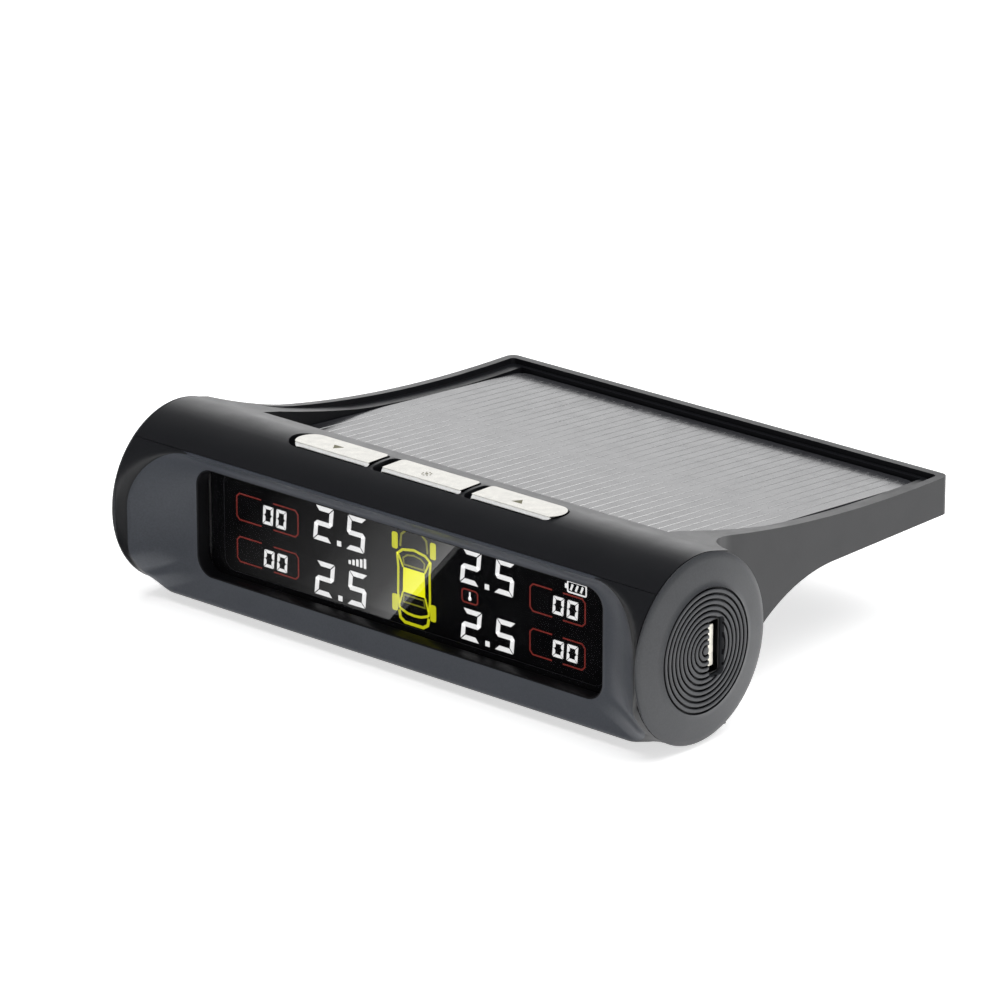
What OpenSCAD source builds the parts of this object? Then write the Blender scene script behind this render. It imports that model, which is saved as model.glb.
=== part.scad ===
// Solar tyre pressure display: a barrel with the display and buttons, and a solar tray behind it.
// Every length is in millimetres. +Z is up, the display faces -Y and +X is the socket end.
// The origin is the centre of the footprint, on the surface that the display stands on.

/* [Overall] */
// Width over the two end caps
body_w = 94; // [90:0.5:100]
// Depth from the front of the barrel to the rear edge of the tray
body_d = 73; // [70:0.5:78]
// Height from the surface to the top of the buttons
body_h = 26; // [25.8:0.1:26.2]
// Thickness of the moulded walls
wall = 1.6; // [1.4:0.1:1.8]

/* [Barrel] */
// Radius of the barrel
barrel_r = 12.65; // [12.5:0.05:12.7]
// Angle above the barrel's axis where the bezel meets the upper housing
crease_angle = 48.8; // [46:0.2:50]
// Depth of the flat front face behind the front of the barrel
facet_y = 4; // [3.6:0.1:4.2]
// Depth of the bezel's rear face behind the front of the barrel
bezel_d = 8.8; // [8.6:0.1:9]
// Height of the moulded underside above the casing's own datum
base_z = 1; // [0.8:0.1:1.2]

/* [Pad] */
// Thickness of the anti-slip pad
pad_t = 1.4; // [1.2:0.1:1.6]
// Width of the pad
pad_w = 82; // [60:1:84]
// Depth of the pad, front to back
pad_d = 14.9; // [12:0.1:15]

/* [Tray] */
// Half width of the tray where it leaves the barrel
tray_half_front = 39.2; // [38.5:0.1:39.6]
// Half width of the tray at its rear edge
tray_half_rear = 38.9; // [38.4:0.1:39.2]
// Height of the rim at the rear edge
rim_rear_z = 18.5; // [18.3:0.1:19]
// Height of the underside at the rear edge
under_rear_z = 13.2; // [13:0.1:13.5]
// Radius of the hollow curve under the tray
under_r = 25; // [24:0.5:26]

/* [Display window] */
// Width of the window
window_w = 71; // [68:0.5:72]
// Height of the window's lower edge
window_low = 5; // [4.8:0.1:5.4]
// Height of the window's upper edge
window_high = 19.8; // [19.4:0.1:19.9]
// Thickness of the smoked lens
lens_t = 1; // [0.8:0.1:1]

/* [Solar panel] */
// Width of the panel
panel_w = 70.6; // [68:0.2:71]
// Thickness of the panel
panel_t = 1.4; // [1:0.1:1.5]
// Height of the panel's face at its front edge
panel_front_z = 20.9; // [20.6:0.1:21]
// Height of the panel's face at its rear edge
panel_rear_z = 17.2; // [17:0.1:17.3]

/* [Buttons] */
// Length of one button
button_l = 15; // [14:0.1:15.2]
// Width of one button, front to back
button_w = 4.6; // [4.2:0.1:4.8]
// Distance from one button to the next
button_pitch = 16; // [15.8:0.1:16.5]
// Gap round each button
button_gap = 0.25; // [0.2:0.05:0.35]

/* [Socket] */
// Height of the socket's shell, which stands on edge
usb_h = 7.4; // [7.2:0.1:7.6]
// Thickness of the socket's shell
usb_t = 2.5; // [2.4:0.1:2.6]

/* [Hidden] */

$fn = 96;
SMALL = 0.01;
seam = 0.06;
far = 60;

// The casing's own datum lies this far above the surface
lift = pad_t - base_z;
// Height of the buttons' tops above the casing's datum, and how far they stand proud of the barrel
key_top = body_h - lift;
key_proud = 0.1;
// Barrel axis, measured back from the front of the barrel and up from the casing's datum
axis_y = barrel_r;
axis_z = key_top - key_proud - barrel_r;
hub_x = body_w / 2 - 1.4;
crease_z = axis_z + barrel_r * sin(crease_angle);
parting_z = 5;
base_front_y = 5.6;
pad_y = 16.05;
chin_z = 2.6;
cap_rim_t = 0.4;
cap_floor_z = base_z + wall + 0.2;
foot_half = 36.8;
hub_hollow_y = 17.4;

// Rim curve: it leaves the barrel at rim_start and flattens out towards the rear
rim_start = 16;
rim_start_z = axis_z + sqrt(barrel_r * barrel_r - pow(rim_start - axis_y, 2));
rim_power = 2.2;
rim_steps = 24;
under_start = 48;
under_steps = 16;
side_wall = 1.8;
lip_w = 1.2;
lip_drop = 0.8;
step_start = 22;
step_run = 16;
fillet_y = 27;
fillet_r = 9;
corner_r = 1.3;
fillet_steps = 10;
corner_steps = 8;

// Solar panel and what carries it
panel_front_y = 19.3;
panel_rear_y = 70.9;
panel_slope = (panel_rear_z - panel_front_z) / (panel_rear_y - panel_front_y);
panel_clear = 0.2;
tape_t = 0.2;
ledge_t = 0.6;
ledge_w = 3;
ridge_y = 17.2;
cover_t = 1;

// Display stack, front to back
lens_y = bezel_d - lens_t;
glass_y = bezel_d + 0.1;
glass_t = 1.8;
light_y = glass_y + glass_t;
light_t = 1.5;
board_y = light_y + light_t + 0.2;
board_t = 1;
board_rear = board_y + board_t;
glass_w = 72;
glass_low = 4.2;
glass_high = 20.2;
board_low = 4.2;
board_high = 20.6;
board_left = -43;
board_right = 44.5;

// Buttons and the switches under them
button_y = 12.2;
button_end_r = 2.3;
button_corner_r = 0.7;
flange_low = key_top - 2.85;
flange_t = 0.55;
flange_extra = 0.55;
stem_low = flange_low - 0.2;
chamfer = 0.6;
plunger_low = stem_low - 0.55;
plunger_r = 0.75;
switch_low = 21.5;
switch_t = 0.8;
button_names = [-1, 0, 1];

// Socket
usb_y = board_rear + usb_t / 2;
usb_z = axis_z;
usb_x = 40.6;
usb_front_x = 46.4;
usb_skin = 0.3;

// Screws
post_x = 41.3;
post_low = 6.8;
post_high = 18.8;
screw_r = 1;
pilot_r = 1.02;
boss_r = 2.4;
boss_x = 34;
front_boss_y = 20;
rear_boss_y = 42;

// Battery
battery_l = 52;
battery_t = 6.6;
battery_h = 14;
battery_x = -2;
battery_y = 15.4;
battery_low = 3.4;

function rim_z(y) =
  rim_rear_z + (rim_start_z - rim_rear_z) * pow(1 - (y - rim_start) / (body_d - rim_start), rim_power);
function panel_z(y) = panel_front_z + (y - panel_front_y) * panel_slope;
function under_angle(low, inset) = acos((low - under_rear_z + under_r) / (under_r + inset));
// Points of the hollow underside, from the rear forwards and down to height low
function under_arc(low, inset) = [
  for (i = [0 : under_steps])
    let (a = under_angle(low, inset) * i / under_steps)
    [under_start - (under_r + inset) * sin(a), under_rear_z - under_r + (under_r + inset) * cos(a)]
];
// Points of the rim, from the rear forwards, lowered by drop
function rim_curve(drop) = [
  for (i = [0 : rim_steps])
    let (y = body_d - (body_d - rim_start) * i / rim_steps)
    [y, rim_z(y) - drop]
];
// The same for the step inside the rim, which fades out towards the barrel
function step_curve() = [
  for (i = [0 : rim_steps])
    let (y = body_d - (body_d - rim_start) * i / rim_steps)
    [y, rim_z(y) - lip_drop * min(1, max(-0.1, (y - step_start) / step_run))]
];

// ---- Helpers ----

// Moves a shape from the casing's datum at the barrel's front to the part's own frame
module place() {
  translate([0, -body_d / 2, lift]) children();
}

// Extrudes a side outline, drawn as depth and height, across the width
module across(width, offset_x = 0) {
  translate([offset_x, 0, 0]) rotate([90, 0, 90]) linear_extrude(height = width, center = true) children();
}

// Extrudes a front outline, drawn as width and height, rearwards from depth y by t
module rearwards(y, t) {
  translate([0, y + t, 0]) rotate([90, 0, 0]) linear_extrude(height = t) children();
}

module rounded_rect(w, h, r) {
  translate([-w / 2 + r, -h / 2]) square([w - 2 * r, h]);
  translate([-w / 2, -h / 2 + r]) square([w, h - 2 * r]);
  for (sx = [-1, 1], sy = [-1, 1]) translate([sx * (w / 2 - r), sy * (h / 2 - r)]) circle(r = r);
}

module window_outline(grow, r) {
  translate([0, (window_low + window_high) / 2])
    rounded_rect(window_w + 2 * grow, window_high - window_low + 2 * grow, r);
}

module block(x0, x1, y0, y1, z0, z1) {
  translate([x0, y0, z0]) cube([x1 - x0, y1 - y0, z1 - z0]);
}

// A rod along Y
module rod_y(x, z, y0, y1, r) {
  translate([x, y1, z]) rotate([90, 0, 0]) cylinder(h = y1 - y0, r = r, $fn = 40);
}

// A rod along Z
module rod_z(x, y, z0, z1, r) {
  translate([x, y, z0]) cylinder(h = z1 - z0, r = r, $fn = 40);
}

// A rod along X
module rod_x(x0, x1, y, z, r) {
  translate([x0, y, z]) rotate([0, 90, 0]) cylinder(h = x1 - x0, r = r, $fn = 40);
}

// ---- Outlines and envelopes ----

module barrel_side(inset) {
  translate([axis_y, axis_z]) circle(r = barrel_r - inset);
}

// Side outline of the foot and the tray
module tray_side() {
  arc = under_arc(base_z, 0);
  polygon(concat(
    [[axis_y, axis_z], [facet_y, axis_z], [facet_y, chin_z], [base_front_y, base_z]],
    [for (i = [under_steps : -1 : 0]) arc[i]],
    [[body_d, under_rear_z]], rim_curve(0)
  ));
}

// Right half of the tray's plan: full width at the barrel, a hollow corner, the side and a round rear corner
function plan_half(inset) =
  let (
    side_x = tray_half_front - inset,
    rear_x = tray_half_rear - inset,
    rear = body_d - inset,
    r = max(corner_r - inset, 0.6),
    sweep = acos((side_x + fillet_r - hub_x) / fillet_r)
  )
  concat(
    [[hub_x, 0]],
    [for (i = [fillet_steps : -1 : 0])
      let (a = sweep * i / fillet_steps)
      [side_x + fillet_r - fillet_r * cos(a), fillet_y - fillet_r * sin(a)]],
    [for (i = [0 : corner_steps])
      let (a = 90 * i / corner_steps)
      [rear_x - r + r * cos(a), rear - r + r * sin(a)]]
  );

module tray_plan(inset) {
  half = plan_half(inset);
  last = len(half) - 1;
  polygon(concat(half, [for (i = [0 : last]) [-half[last - i][0], half[last - i][1]]]));
}

// The closed outer form of the moulded body between the end caps
module body_form() {
  difference() {
    union() {
      across(2 * hub_x) barrel_side(0);
      intersection() {
        across(2 * hub_x) tray_side();
        linear_extrude(height = far) tray_plan(0);
      }
    }
    block(-far, far, -SMALL, body_d, -SMALL, base_z);
  }
}

// Everything that belongs to the bezel
module bezel_zone(clearance) {
  block(-far, far, -1, bezel_d + clearance, -1, crease_z + clearance);
}

// ---- Casing ----

// Side outline of the panel's pocket, widened forwards and downwards
module pocket_side(front, down) {
  y0 = panel_front_y - 0.5 - front;
  y1 = panel_rear_y + panel_clear + front * 3;
  polygon([[ridge_y - front, far], [y0, panel_z(y0) - down], [y1, panel_z(y1) - down], [y1, far]]);
}

module button_outline(index, grow) {
  x = index * button_pitch;
  half = button_l / 2;
  hull() {
    for (side = [-1, 1], edge = [-1, 1]) {
      r = side == index ? button_end_r : button_corner_r;
      translate([x + side * (half - r), edge * (button_w / 2 - r)]) circle(r = r + grow, $fn = 32);
    }
  }
}

module upper_housing() {
  under_ledge = panel_t + tape_t + ledge_t;
  color("#1d1f22") place() difference() {
    union() {
      difference() {
        body_form();
        // Hollow of the barrel and of the tray below the ledge
        difference() {
          union() {
            across(2 * hub_x + 1) barrel_side(wall);
            // The tray is open below, where the cover closes it
            intersection() {
              across(2 * hub_x) polygon(concat([[rim_start, 0], [body_d, 0]], rim_curve(wall)));
              translate([0, 0, -SMALL]) linear_extrude(height = far) tray_plan(side_wall);
            }
          }
          across(2 * tray_half_front) pocket_side(wall, under_ledge);
        }
      }
      // Bosses for the housing screws
      for (s = [-1, 1]) {
        rod_z(s * boss_x, front_boss_y, parting_z, 21, boss_r);
        rod_z(s * boss_x, rear_boss_y, 15.1, panel_z(rear_boss_y) - panel_t - tape_t - SMALL, boss_r);
      }
    }
    bezel_zone(seam);
    // Everything below the parting line belongs to the lower cover
    block(-far, far, -1, body_d / 2, -1, parting_z + seam);
    // Pocket for the panel and its tape
    intersection() {
      across(panel_w + 2 * panel_clear) pocket_side(0, panel_t + tape_t + SMALL);
      translate([0, 0, -SMALL]) linear_extrude(height = far) tray_plan(lip_w);
    }
    // Opening below the panel, inside the ledge
    across(panel_w - 2 * ledge_w) polygon([
      [panel_front_y + ledge_w, 12], [panel_rear_y - ledge_w, 12],
      [panel_rear_y - ledge_w, far], [panel_front_y + ledge_w, far]
    ]);
    // Step inside the rim
    intersection() {
      across(2 * tray_half_front) polygon(concat(
        [[body_d, far]], step_curve(), [[rim_start, far]]
      ));
      translate([0, 0, -SMALL]) linear_extrude(height = far) difference() {
        tray_plan(lip_w);
        translate([-far, 0]) square([2 * far, step_start]);
      }
    }
    // Openings for the buttons
    for (i = button_names)
      translate([0, button_y, 20]) linear_extrude(height = 10) button_outline(i, button_gap);
    // Pilot holes for the housing screws
    for (s = [-1, 1]) {
      rod_z(s * boss_x, front_boss_y, parting_z - 1, 12, pilot_r);
      rod_z(s * boss_x, rear_boss_y, 14, 16.9, pilot_r);
    }
  }
}

// Plan of what is cut away in front of the flat face, with hollow flares at the ends
module flare_plan() {
  flare_x = 36;
  flare_r = 14.7;
  translate([-flare_x, -far]) square([2 * flare_x, far + facet_y]);
  for (s = [-1, 1]) intersection() {
    translate([s * flare_x, facet_y - flare_r]) circle(r = flare_r);
    translate([s * flare_x - flare_r, -2]) square([2 * flare_r, far]);
  }
}

module oval_plate(y, w, low, high, r) {
  translate([0, 0, (low + high) / 2]) rearwards(y, SMALL) rounded_rect(w, high - low, r, $fn = 48);
}

module front_bezel() {
  color("#2b3038") place() difference() {
    union() {
      intersection() {
        body_form();
        bezel_zone(0);
      }
      // Posts that carry the main board
      for (s = [-1, 1], z = [post_low, post_high]) rod_y(s * post_x, z, bezel_d - 1, board_y, 2);
    }
    translate([0, 0, -1]) linear_extrude(height = far) flare_plan();
    // Dished surround that runs in to the window
    hull() {
      oval_plate(0.6, 89.6, 2.9, 22, 9.5, $fn = 48);
      oval_plate(facet_y + 0.05, 80, 3, 21.9, 8, $fn = 48);
      rearwards(5.8, SMALL) window_outline(0, 2.5, $fn = 32);
    }
    rearwards(5, far) window_outline(0, 2.5);
    rearwards(lens_y, far) window_outline(0.8, 1);
    for (s = [-1, 1], z = [post_low, post_high]) rod_y(s * post_x, z, 8, far, pilot_r);
  }
}

module lower_cover() {
  color("#26292d") place() difference() {
    union() {
      difference() {
        intersection() {
          body_form();
          block(-far, far, bezel_d + seam, body_d, 0, parting_z);
        }
        // Hollow of the foot
        union() {
          across(2 * foot_half) polygon(concat(
            [[bezel_d - 1, base_z + wall], [bezel_d - 1, axis_z], [under_start, axis_z]],
            under_arc(base_z + wall, wall)
          ));
          block(-hub_x + wall, hub_x - wall, bezel_d - 1, hub_hollow_y, base_z + wall + 0.1, far);
          intersection() {
            across(2 * hub_x + 1) barrel_side(wall);
            block(-far, far, 0, body_d, cap_floor_z, far);
          }
        }
      }
      // Curved floor of the tray, between the side walls
      intersection() {
        across(2 * tray_half_front) polygon(concat(
          under_arc(parting_z - 1, 0),
          [for (i = [0 : under_steps]) under_arc(parting_z - 1, cover_t)[under_steps - i]],
          [[body_d - side_wall - seam, under_rear_z + cover_t], [body_d - side_wall - seam, under_rear_z]]
        ));
        linear_extrude(height = far) tray_plan(side_wall + seam);
      }
      // Pads for the four housing screws
      intersection() {
        body_form();
        for (s = [-1, 1]) {
          rod_z(s * boss_x, rear_boss_y, 11, 15, 2.9);
          rod_z(s * boss_x, front_boss_y, base_z, parting_z, boss_r);
        }
      }
    }
    for (s = [-1, 1]) {
      rod_z(s * boss_x, front_boss_y, 0, 2.1, 2.2);
      rod_z(s * boss_x, front_boss_y, 0, 6, screw_r + 0.2);
      rod_z(s * boss_x, rear_boss_y, 10, 14.1, 2.2);
      rod_z(s * boss_x, rear_boss_y, 10, 16, screw_r + 0.2);
    }
  }
}

// Domed end disc; side is 1 at the socket end and -1 at the other
module end_cap(side) {
  face_x = body_w / 2;
  ring_r = 8.6;
  ring_pitch = 0.95;
  ring_count = 8;
  groove_w = 0.45;
  groove_d = 0.35;
  translate([0, axis_y, axis_z]) rotate([0, 90 * side, 0]) difference() {
    union() {
      rotate_extrude() polygon([
        [0, hub_x + seam], [barrel_r, hub_x + seam], [barrel_r, hub_x + cap_rim_t],
        [ring_r + 0.3, face_x - 0.25], [ring_r, face_x], [0, face_x]
      ]);
      // Spigot inside the barrel, left out where the bezel is
      difference() {
        translate([0, 0, hub_x - 2.5]) cylinder(h = 2.6, r = barrel_r - wall - 0.1);
        translate([0, 0, hub_x - 3]) cylinder(h = 3, r = barrel_r - wall - 1.3);
        translate([-far, -far - axis_y + bezel_d + 0.2, hub_x - 4]) cube([2 * far, far, 4]);
        translate([side * (axis_z - cap_floor_z - 0.1 + far / 2), 0, hub_x - 2]) cube([far, far, 4], center = true);
      }
    }
    for (i = [1 : ring_count])
      translate([0, 0, face_x - groove_d]) difference() {
        cylinder(h = 1, r = ring_r - 0.4 - (i - 1) * ring_pitch);
        translate([0, 0, -1]) cylinder(h = 3, r = ring_r - 0.4 - (i - 1) * ring_pitch - groove_w);
      }
  }
}

module end_cap_right() {
  color("#33363b") place() difference() {
    end_cap(1);
    translate([hub_x - 1, usb_y, usb_z]) rotate([90, 0, 90]) linear_extrude(height = 5)
      rounded_rect(usb_t + 0.6, usb_h + 0.4, 0.8);
  }
}

module end_cap_left() {
  color("#33363b") place() end_cap(-1);
}

module anti_slip_pad() {
  color("#101010") place() translate([0, pad_y, -lift]) linear_extrude(height = pad_t) rounded_rect(pad_w, pad_d, 3);
}

// ---- Display ----

module display_lens() {
  color("#0b0c0e") place() rearwards(lens_y, lens_t) window_outline(0.7, 1);
}

module lcd_glass() {
  color("#1a1c1e") place() block(-glass_w / 2, glass_w / 2, glass_y, glass_y + glass_t, glass_low, glass_high);
}

module lcd_backlight() {
  color("white") place() block(-34.5, 34.5, light_y, light_y + light_t, glass_low + 1, glass_high - 0.2);
}

module lcd_connector() {
  color("#d08a9a") place() block(-30, 30, light_y + SMALL, board_y, glass_low, glass_low + 0.9);
}

module display_frame() {
  color("#e6e6e2") place() translate([0, 0, 12.05]) rearwards(glass_y, board_y - glass_y) difference() {
    rounded_rect(76.8, 17.3, 0.8);
    translate([0, 0.15]) square([glass_w + 0.2, glass_high - glass_low + 0.2], center = true);
  }
}

// ---- Electronics ----

module main_board() {
  color("#14532d") place() difference() {
    block(board_left, board_right, board_y, board_rear, board_low, board_high);
    for (s = [-1, 1], z = [post_low, post_high]) rod_y(s * post_x, z, board_y - 1, board_rear + 1, screw_r + 0.15);
  }
}

module usb_shell() {
  color("#c9c4b6") place() translate([usb_x, usb_y, usb_z]) rotate([90, 0, 90]) difference() {
    linear_extrude(height = usb_front_x - usb_x) rounded_rect(usb_t, usb_h, 0.6);
    translate([0, 0, usb_skin]) linear_extrude(height = 10)
      rounded_rect(usb_t - 2 * usb_skin, usb_h - 2 * usb_skin, 0.3);
  }
}

module usb_tongue() {
  color("#d9cfa8") place() block(usb_x + usb_skin, usb_front_x - 0.4, usb_y - 0.6, usb_y + 0.1, usb_z - 2.6, usb_z + 2.6);
}

module button_board() {
  color("#14532d") place() block(-24, 24, 9.4, 16.8, switch_low - 0.6, switch_low);
}

module board_link() {
  color("#2a2a2a") place() block(17, 23, board_rear, board_rear + 1.2, 18.6, switch_low - 0.6);
}

module tact_switch(index) {
  x = index * button_pitch;
  color("#b9bcc0") place() difference() {
    block(x - 2, x + 2, button_y - 1.6, button_y + 1.6, switch_low, switch_low + switch_t);
    rod_z(x, button_y, switch_low + 0.1, switch_low + 2, plunger_r + 0.1);
  }
}

module switch_plunger(index) {
  color("#f0e6c8") place() rod_z(index * button_pitch, button_y, plunger_low, stem_low, plunger_r);
}

// Chromed key with a sloping front edge, a flange below the housing and a stem on the switch
module button_key(index) {
  x = index * button_pitch;
  color("#e8e9eb") place() union() {
    difference() {
      translate([0, button_y, flange_low + SMALL]) linear_extrude(height = key_top - flange_low - SMALL)
        button_outline(index, 0);
      translate([x, button_y - button_w / 2, key_top]) rotate([45, 0, 0])
        cube([button_l + 2, chamfer, chamfer * 2], center = true);
    }
    translate([0, button_y, flange_low]) linear_extrude(height = flange_t) translate([x, 0])
      square([button_l + 2 * min(flange_extra, (button_pitch - button_l) / 2 - 0.2), button_w + 2 * flange_extra],
        center = true);
    rod_z(x, button_y, stem_low, flange_low + SMALL, plunger_r);
  }
}

module switch_left() { tact_switch(-1); }
module switch_middle() { tact_switch(0); }
module switch_right() { tact_switch(1); }
module plunger_left() { switch_plunger(-1); }
module plunger_middle() { switch_plunger(0); }
module plunger_right() { switch_plunger(1); }
module button_left() { button_key(-1); }
module button_middle() { button_key(0); }
module button_right() { button_key(1); }

module radio_shield() {
  color("#c4c7ca") place() block(-22, -9, board_rear, board_rear + 1.6, 6, 17);
}

module controller_chip() {
  color("#18191b") place() block(0, 10, board_rear, board_rear + 1.4, 7, 17);
}

module crystal_can() {
  color("#d5d7da") place() block(-6, -3, board_rear, board_rear + 1.2, 8, 14);
}

module charge_chip() {
  color("#18191b") place() block(14, 19, board_rear, board_rear + 1.5, 6, 10);
}

module buzzer() {
  color("#202225") place() rod_y(31, 15.8, board_rear, board_rear + 3, 4.2);
}

module vibration_sensor() {
  color("#b08d57") place() rod_x(-37, -31, board_rear + 1.7, 8, 1.6);
}

// Helical aerial, swept as a ring of points along the wire
module antenna_coil() {
  turns = 6;
  per_turn = 14;
  sides = 6;
  coil_r = 2.2;
  wire_r = 0.3;
  pitch = 1.4;
  last = turns * per_turn;
  function ring(i) = [
    for (k = [0 : sides - 1])
      let (a = 360 * i / per_turn, b = 360 * k / sides, r = coil_r + wire_r * cos(b))
      [pitch * i / per_turn + wire_r * sin(b), r * cos(a), r * sin(a)]
  ];
  points = [for (i = [0 : last]) each ring(i)];
  walls = [
    for (i = [0 : last - 1], k = [0 : sides - 1])
      [i * sides + k, (i + 1) * sides + k, (i + 1) * sides + (k + 1) % sides, i * sides + (k + 1) % sides]
  ];
  ends = [[for (k = [0 : sides - 1]) k], [for (k = [0 : sides - 1]) last * sides + sides - 1 - k]];
  color("#c98a3a") place() translate([-40, 17, 14.6]) rotate([0, 90, 0]) polyhedron(points = points, faces = concat(walls, ends));
}

// ---- Power ----

// Laminated panel, cut square to its own face
module solar_panel() {
  tilt = atan(panel_slope);
  length = (panel_rear_y - panel_front_y) / cos(tilt);
  color("#1b1e2b") place() translate([0, panel_front_y, panel_front_z]) rotate([tilt, 0, 0])
    translate([0, length / 2, -panel_t]) linear_extrude(height = panel_t - SMALL) rounded_rect(panel_w, length - 0.2, 2);
}

module solar_tape() {
  tilt = atan(panel_slope);
  length = (panel_rear_y - panel_front_y) / cos(tilt);
  color("#d8d2c0") place() translate([0, panel_front_y, panel_front_z]) rotate([tilt, 0, 0])
    translate([0, length / 2, -panel_t - tape_t]) linear_extrude(height = tape_t) difference() {
      square([panel_w - 0.6, length - 1], center = true);
      square([panel_w - 2 * ledge_w + 1, length - 2 * ledge_w], center = true);
    }
}

// Two wires from the panel, down and forwards to the main board
module solar_leads() {
  wire_r = 0.4;
  wire_y = 24;
  wire_z = 17.88;
  color("firebrick") place() for (x = [-27, -25]) {
    rod_y(x, wire_z, board_rear, wire_y, wire_r);
    rod_z(x, wire_y, wire_z, panel_z(wire_y) - panel_t - 0.1, wire_r);
    translate([x, wire_y, wire_z]) sphere(r = wire_r, $fn = 24);
  }
}

module battery_cell() {
  color("#b7bcc4") place() translate([battery_x, battery_y + battery_t / 2, battery_low + battery_h / 2])
    rotate([90, 0, 90]) linear_extrude(height = battery_l, center = true) rounded_rect(battery_t, battery_h, 1.6);
}

module battery_foam() {
  color("#3b3b3b") place() block(battery_x - 18, battery_x + 18, 16.2, 21, base_z + wall, battery_low);
}

module battery_plug() {
  color("#f2efe6") place() block(26.5, 31.2, board_rear, board_rear + 5, 5, 11);
}

module battery_leads() {
  color("firebrick") place() for (z = [7, 9.4]) rod_x(battery_x + battery_l / 2, 26.5, 17.2, z, 0.55);
}

// ---- Fasteners ----

// Pan head screw pointing along +Z from the underside of its head
module screw(shank_l, head_r, head_t) {
  cylinder(h = shank_l, r = screw_r, $fn = 40);
  translate([0, 0, -head_t]) difference() {
    cylinder(h = head_t, r = head_r, $fn = 40);
    for (a = [0, 90]) rotate([0, 0, a]) translate([-head_r * 0.6, -0.2, -SMALL]) cube([head_r * 1.2, 0.4, 0.5]);
  }
}

module housing_screws() {
  color("silver") place() for (s = [-1, 1]) {
    translate([s * boss_x, front_boss_y, 2.1]) screw(9, 1.9, 1);
    translate([s * boss_x, rear_boss_y, 14.1]) screw(2.6, 1.9, 1);
  }
}

module board_screws() {
  color("silver") place() for (s = [-1, 1], z = [post_low, post_high])
    translate([s * post_x, board_rear, z]) rotate([90, 0, 0]) screw(4.4, 1.7, 0.9);
}

upper_housing();
front_bezel();
lower_cover();
end_cap_right();
end_cap_left();
anti_slip_pad();
display_lens();
lcd_glass();
lcd_backlight();
lcd_connector();
display_frame();
main_board();
usb_shell();
usb_tongue();
button_board();
board_link();
button_left();
button_middle();
button_right();
plunger_left();
plunger_middle();
plunger_right();
switch_left();
switch_middle();
switch_right();
solar_panel();
solar_tape();
solar_leads();
battery_cell();
battery_foam();
battery_plug();
battery_leads();
antenna_coil();
radio_shield();
controller_chip();
crystal_can();
charge_chip();
buzzer();
vibration_sensor();
housing_screws();
board_screws();
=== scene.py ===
"""Looks of a solar tire pressure display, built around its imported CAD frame.

Lengths are in metres. The display faces -Y, +X is the socket end and +Z is up.
"""

import math

import bmesh
import bpy
from mathutils import Matrix, Vector


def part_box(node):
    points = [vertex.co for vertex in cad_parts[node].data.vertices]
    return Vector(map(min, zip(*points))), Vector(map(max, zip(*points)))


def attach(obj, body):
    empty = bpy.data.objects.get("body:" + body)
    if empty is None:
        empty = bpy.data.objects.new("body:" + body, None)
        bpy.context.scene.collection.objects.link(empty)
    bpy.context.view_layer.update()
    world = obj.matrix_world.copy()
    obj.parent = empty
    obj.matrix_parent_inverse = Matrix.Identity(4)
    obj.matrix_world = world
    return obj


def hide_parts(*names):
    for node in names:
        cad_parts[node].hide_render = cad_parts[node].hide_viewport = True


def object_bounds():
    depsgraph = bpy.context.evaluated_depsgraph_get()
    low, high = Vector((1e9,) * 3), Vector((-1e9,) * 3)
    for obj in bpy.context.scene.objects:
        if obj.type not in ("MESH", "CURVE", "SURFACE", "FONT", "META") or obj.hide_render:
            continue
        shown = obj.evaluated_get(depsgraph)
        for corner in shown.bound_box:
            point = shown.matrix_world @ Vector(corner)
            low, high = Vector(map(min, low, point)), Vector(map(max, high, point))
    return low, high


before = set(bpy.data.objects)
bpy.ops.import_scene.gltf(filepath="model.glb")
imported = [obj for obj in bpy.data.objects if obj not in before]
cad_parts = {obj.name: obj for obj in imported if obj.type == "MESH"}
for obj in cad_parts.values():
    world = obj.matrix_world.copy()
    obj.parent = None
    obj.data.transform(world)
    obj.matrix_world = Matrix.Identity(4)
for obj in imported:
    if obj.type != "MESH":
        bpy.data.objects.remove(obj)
cad_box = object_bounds()

MM = 0.001
WELD = 0.002 * MM
ROUND = 0.18 * MM
TUCK_CUTS = 7
SWAP_XY = Matrix(((0, 1, 0, 0), (1, 0, 0, 0), (0, 0, 1, 0), (0, 0, 0, 1)))
panel_low, panel_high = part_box("solar_panel")


# ---------------------------------------------------------------- meshes

def plain_object(name, bm):
    """Makes an object from a bmesh and puts it in the scene."""
    mesh = bpy.data.meshes.new(name)
    bm.to_mesh(mesh)
    bm.free()
    made = bpy.data.objects.new(name, mesh)
    bpy.context.scene.collection.objects.link(made)
    return made


def obj_from_bmesh(name, bm, material, body="root"):
    """Makes a piece from a bmesh, gives it its material and rides it on its body."""
    piece = plain_object(name, bm)
    piece.data.materials.append(material)
    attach(piece, body)
    return piece


def shade_by_angle(bm, degrees):
    """Smooth shading, with every edge at or above the angle left sharp."""
    limit = math.radians(degrees)
    for face in bm.faces:
        face.smooth = True
    for edge in bm.edges:
        edge.smooth = len(edge.link_faces) != 2 or edge.calc_face_angle(0.0) < limit


def round_edges(piece, width, segments=3, degrees=28):
    """Rounds every edge sharper than the given angle, and evens out the shading."""
    bevel = piece.modifiers.new("rounded_edges", "BEVEL")
    bevel.width = width
    bevel.segments = segments
    bevel.limit_method = "ANGLE"
    bevel.angle_limit = math.radians(degrees)
    bevel.use_clamp_overlap = True
    bevel.miter_outer = "MITER_ARC"
    even = piece.modifiers.new("even_shading", "WEIGHTED_NORMAL")
    even.mode = "FACE_AREA"
    even.weight = 50
    even.keep_sharp = True


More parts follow.
